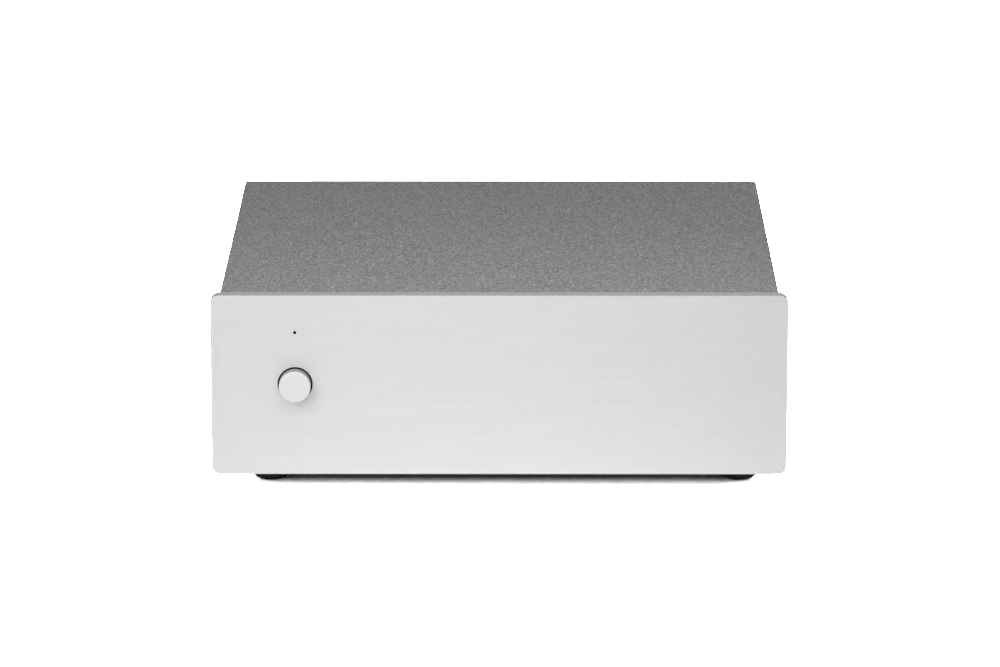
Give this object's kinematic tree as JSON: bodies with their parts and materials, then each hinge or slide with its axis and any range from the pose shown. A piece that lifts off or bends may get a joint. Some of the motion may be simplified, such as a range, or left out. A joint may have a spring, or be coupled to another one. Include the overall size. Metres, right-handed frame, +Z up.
{
  "type": "phono preamp",
  "caption": "Compact box-shaped phono preamplifier: thick brushed aluminium front, round power button, pinhole lamp, folded grey steel case, rear phono sockets, earth post and load dial.",
  "frame": {"origin": "on the floor, under the middle of the whole object's box, feet, button and rear sockets included", "axes": "+X to the right as seen from the front, +Y from the front panel to the rear sockets, +Z up"},
  "size_m": [0.206, 0.2046, 0.072],
  "materials": {
    "black_plastic": "satin",
    "button_aluminium": "satin",
    "capacitor_aluminium": "satin",
    "case_powder_coat": "matte",
    "ceramic_film": "satin",
    "film_plastic": "gloss",
    "foot_rubber": "matte",
    "front_panel_aluminium": "satin",
    "gold_plated_brass": "polished",
    "green_board": "satin",
    "lamp_plastic": "gloss",
    "nickel_plated_brass": "polished",
    "red_plastic": "gloss",
    "ribbon_vinyl": "satin",
    "spring_steel": "polished",
    "white_plastic": "gloss",
    "zinc_plated_steel": "satin"
  },
  "bodies": {
    "root": {"amplifier_chips": "black_plastic", "base_pan": "case_powder_coat", "board_standoffs": "nickel_plated_brass", "button_spring": "spring_steel", "cable_headers": "white_plastic", "cover_screws": "zinc_plated_steel", "dc_jack_body": "black_plastic", "dc_jack_pin": "nickel_plated_brass", "dip_body_left": "red_plastic", "dip_body_right": "red_plastic", "electrolytic_capacitors": "capacitor_aluminium", "film_capacitors": "film_plastic", "foot_front_left": "foot_rubber", "foot_front_right": "foot_rubber", "foot_rear_left": "foot_rubber", "foot_rear_right": "foot_rubber", "front_board": "green_board", "front_bulkhead": "zinc_plated_steel", "front_panel": "front_panel_aluminium", "front_standoffs": "nickel_plated_brass", "ground_lock_nut": "nickel_plated_brass", "ground_post": "nickel_plated_brass", "led": "lamp_plastic", "led_spacer": "black_plastic", "main_board": "green_board", "pan_head_screws": "zinc_plated_steel", "pot_body": "black_plastic", "pot_nut": "nickel_plated_brass", "rca_contacts": "gold_plated_brass", "rca_cores_red": "red_plastic", "rca_cores_white": "white_plastic", "rca_housings": "black_plastic", "rca_shell_in_left": "gold_plated_brass", "rca_shell_in_right": "gold_plated_brass", "rca_shell_out_left": "gold_plated_brass", "rca_shell_out_right": "gold_plated_brass", "rca_washers": "black_plastic", "rear_panel": "case_powder_coat", "regulators": "black_plastic", "relays": "black_plastic", "resistors": "ceramic_film", "ribbon_cable": "ribbon_vinyl", "switch_body": "black_plastic", "top_cover": "case_powder_coat", "transistors": "black_plastic"},
    "power_button": {"button_cap": "button_aluminium", "switch_plunger": "white_plastic"},
    "impedance_dial": {"impedance_knob": "button_aluminium", "pot_shaft": "nickel_plated_brass"},
    "earth_washer": {"ground_washer": "nickel_plated_brass"},
    "earth_nut": {"ground_thumb_nut": "nickel_plated_brass"},
    "slider_left_1": {"dip_slider_left_1": "white_plastic"},
    "slider_left_2": {"dip_slider_left_2": "white_plastic"},
    "slider_left_3": {"dip_slider_left_3": "white_plastic"},
    "slider_left_4": {"dip_slider_left_4": "white_plastic"},
    "slider_right_1": {"dip_slider_right_1": "white_plastic"},
    "slider_right_2": {"dip_slider_right_2": "white_plastic"},
    "slider_right_3": {"dip_slider_right_3": "white_plastic"},
    "slider_right_4": {"dip_slider_right_4": "white_plastic"}
  },
  "joints": [
    {"name": "power_button_press", "type": "slide", "parent": "root", "child": "power_button", "axis": [0, 1, 0], "range_m": [0, 0.0025], "stiffness_N_per_m": 300, "springref_m": -0.001, "deforming": ["button_spring"]},
    {"name": "impedance_dial_turn", "type": "hinge", "parent": "root", "child": "impedance_dial", "pos_m": [0.006, 0.09375, 0.0275], "axis": [0, 1, 0], "range_deg": [-150, 150]},
    {"name": "earth_washer_slide", "type": "slide", "parent": "root", "child": "earth_washer", "axis": [0, 1, 0], "range_m": [0, 0.003]},
    {"name": "earth_nut_turn", "type": "hinge", "parent": "earth_washer", "child": "earth_nut", "pos_m": [0.034, 0.09605, 0.0275], "axis": [0, 1, 0], "range_deg": [0, 1543]},
    {"name": "slider_left_1_slide", "type": "slide", "parent": "root", "child": "slider_left_1", "axis": [0, 1, 0], "range_m": [0, 0.002]},
    {"name": "slider_left_2_slide", "type": "slide", "parent": "root", "child": "slider_left_2", "axis": [0, 1, 0], "range_m": [0, 0.002]},
    {"name": "slider_left_3_slide", "type": "slide", "parent": "root", "child": "slider_left_3", "axis": [0, 1, 0], "range_m": [0, 0.002]},
    {"name": "slider_left_4_slide", "type": "slide", "parent": "root", "child": "slider_left_4", "axis": [0, 1, 0], "range_m": [0, 0.002]},
    {"name": "slider_right_1_slide", "type": "slide", "parent": "root", "child": "slider_right_1", "axis": [0, 1, 0], "range_m": [0, 0.002]},
    {"name": "slider_right_2_slide", "type": "slide", "parent": "root", "child": "slider_right_2", "axis": [0, 1, 0], "range_m": [0, 0.002]},
    {"name": "slider_right_3_slide", "type": "slide", "parent": "root", "child": "slider_right_3", "axis": [0, 1, 0], "range_m": [0, 0.002]},
    {"name": "slider_right_4_slide", "type": "slide", "parent": "root", "child": "slider_right_4", "axis": [0, 1, 0], "range_m": [0, 0.002]}
  ],
  "couplings": [
    {"joint": "earth_nut_turn", "follows": "earth_washer_slide", "rad_per_m": 8976}
  ]
}
